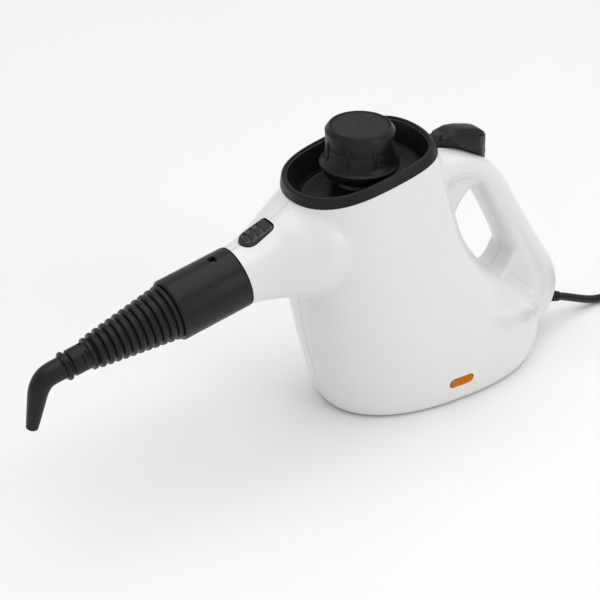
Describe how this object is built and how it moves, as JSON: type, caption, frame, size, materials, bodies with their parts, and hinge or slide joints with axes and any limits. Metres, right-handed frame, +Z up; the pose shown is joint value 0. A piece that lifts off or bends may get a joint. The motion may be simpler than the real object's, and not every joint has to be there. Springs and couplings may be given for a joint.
{
  "type": "hand-held steam cleaner",
  "caption": "Hand-held steam cleaner with a loop handle, top trigger, screw safety cap in a tray, ribbed pull-off nozzle, bent detail tip and mains cord.",
  "frame": {"origin": "centre of the base plate's flat underside, which the cleaner stands on", "axes": "+X forward to the nozzle, +Y to the user's left, +Z up"},
  "size_m": [0.62, 0.1921, 0.2268],
  "materials": {
    "white_abs": "gloss",
    "satin_black": "satin",
    "gloss_black": "gloss",
    "grey_plastic": "satin",
    "black_rubber": "matt",
    "silicone": "matt",
    "amber_lens": "gloss",
    "lamp_glass": "gloss",
    "cast_aluminium": "cast",
    "steel": "brushed",
    "brass": "satin",
    "copper": "satin"
  },
  "bodies": {
    "housing": {"left_housing": "white_abs", "right_housing": "white_abs", "base_plate": "grey_plastic", "nozzle_spout": "grey_plastic", "thermal_fuse": "grey_plastic", "lamp_holder": "grey_plastic", "terminal_block": "grey_plastic", "cord_clamp": "grey_plastic", "base_screw_1": "steel", "base_screw_2": "steel", "base_screw_3": "steel", "base_screw_4": "steel", "case_screw_1": "steel", "case_screw_2": "steel", "case_screw_3": "steel", "boiler_bolt_1": "steel", "boiler_bolt_2": "steel", "boiler_bolt_3": "steel", "boiler_bracket": "steel", "heater_element": "steel", "thermostat": "steel", "button_spring": "steel", "trigger_pin": "steel", "valve_spring": "steel", "plug_pin_1": "steel", "plug_pin_2": "steel", "top_tray": "satin_black", "boiler_lower": "cast_aluminium", "boiler_upper": "cast_aluminium", "boiler_gasket": "silicone", "spout_seal": "silicone", "filler_seal": "black_rubber", "supply_lead": "black_rubber", "strain_relief": "black_rubber", "cord": "black_rubber", "cord_coil": "black_rubber", "plug_lead": "black_rubber", "plug_body": "black_rubber", "valve_body": "brass", "feed_pipe": "copper", "outlet_pipe": "copper", "indicator_lens": "amber_lens", "indicator_lamp": "lamp_glass"},
    "trigger": {"trigger": "satin_black"},
    "valve_plunger": {"valve_plunger": "steel"},
    "button": {"release_button": "gloss_black", "latch": "grey_plastic"},
    "nozzle": {"extension_collar": "satin_black", "ribbed_cone": "satin_black", "steam_tube": "brass"},
    "tip_seal": {"tip_seal": "black_rubber"},
    "bent_tip": {"bent_tip": "satin_black"},
    "cap_gasket": {"cap_gasket": "silicone"},
    "relief_valve": {"relief_piston": "brass", "relief_spring": "steel", "relief_retainer": "brass"},
    "cap_plug": {"cap_plug": "satin_black", "cap_spring": "steel"},
    "cap_knob": {"cap_knob": "satin_black", "cap_disc": "satin_black"}
  },
  "joints": [
    {"name": "trigger_press", "type": "hinge", "parent": "housing", "child": "trigger", "pos_m": [-0.0415, 0, 0.1694], "axis": [0, 1, 0], "range_deg": [0, 4.5], "stiffness_Nm_per_rad": 1, "springref_deg": -6.88},
    {"name": "plunger_slide", "type": "slide", "parent": "housing", "child": "valve_plunger", "axis": [0, 0, -1], "range_m": [0, 0.0042], "deforming": ["valve_spring"]},
    {"name": "button_press", "type": "slide", "parent": "housing", "child": "button", "axis": [-0.3698, 0, -0.9291], "range_m": [0, 0.003], "stiffness_N_per_m": 300, "springref_m": -0.002, "deforming": ["button_spring"]},
    {"name": "nozzle_pull", "type": "slide", "parent": "housing", "child": "nozzle", "axis": [0.9813, 0, -0.1925], "range_m": [0, 0.06]},
    {"name": "tip_pull", "type": "slide", "parent": "nozzle", "child": "tip_seal", "axis": [0.9813, 0, -0.1925], "range_m": [0, 0.03]},
    {"name": "tip_twist", "type": "hinge", "parent": "tip_seal", "child": "bent_tip", "pos_m": [0.1671, 0, 0.1373], "axis": [0.9813, 0, -0.1925], "range_deg": [0, 60]},
    {"name": "cap_lift", "type": "slide", "parent": "housing", "child": "cap_gasket", "axis": [0, 0, 1], "range_m": [0, 0.06]},
    {"name": "cap_rise", "type": "slide", "parent": "cap_gasket", "child": "relief_valve", "axis": [0, 0, 1], "range_m": [0, 0.0075]},
    {"name": "cap_turn", "type": "hinge", "parent": "relief_valve", "child": "cap_plug", "pos_m": [0.064, 0, 0.19], "axis": [0, 0, 1], "range_deg": [0, 720]},
    {"name": "cap_press", "type": "slide", "parent": "cap_plug", "child": "cap_knob", "axis": [0, 0, -1], "range_m": [0, 0.0025], "stiffness_N_per_m": 800, "springref_m": -0.001, "deforming": ["cap_spring"]}
  ],
  "couplings": [
    {"joint": "plunger_slide", "follows": "trigger_press", "m_per_rad": 0.049},
    {"joint": "cap_rise", "follows": "cap_turn", "m_per_rad": 0.00057296}
  ]
}
